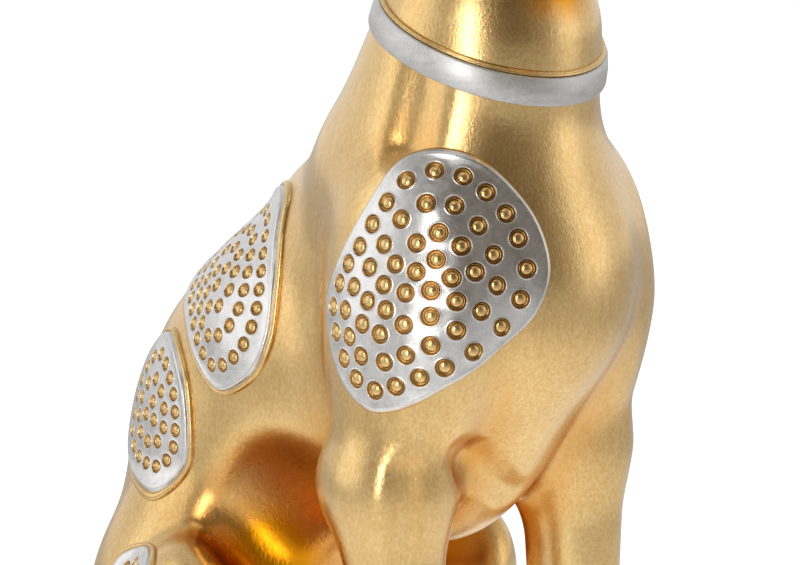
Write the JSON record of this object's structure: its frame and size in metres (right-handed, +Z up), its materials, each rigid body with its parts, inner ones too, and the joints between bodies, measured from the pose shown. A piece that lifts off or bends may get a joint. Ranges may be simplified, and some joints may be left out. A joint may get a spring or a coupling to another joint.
{
  "type": "dog sculpture",
  "caption": "Sitting smooth-haired dog sculpture, gilded, with raised silver plates of beaded dimples and a silver collar band.",
  "frame": {"origin": "on the floor, under the middle of the dog's bounding box", "axes": "+Z up, -Y the way the dog faces, +X the dog's left"},
  "size_m": [0.1712, 0.3046, 0.4082],
  "materials": {
    "gilding": "antique champagne gold with fine flake and brush grain",
    "silver_leaf": "cool brushed silver",
    "felt": "dark felt",
    "plug_resin": "matt cast resin"
  },
  "bodies": {
    "root": {"body_casting": "gilding", "head_casting": "gilding", "right_ear": "gilding", "left_ear": "gilding", "tail": "gilding", "collar_band": "silver_leaf", "collar_piping": "gilding", "right_shoulder_plate": "silver_leaf", "right_rib_plate": "silver_leaf", "right_haunch_plate": "silver_leaf", "right_thigh_plate": "silver_leaf", "rump_plate": "silver_leaf", "left_shoulder_plate": "silver_leaf", "left_haunch_plate": "silver_leaf", "base_plug": "plug_resin", "right_fore_pad": "felt", "left_fore_pad": "felt", "right_hind_pad": "felt", "left_hind_pad": "felt", "rump_pad": "felt"}
  },
  "joints": []
}
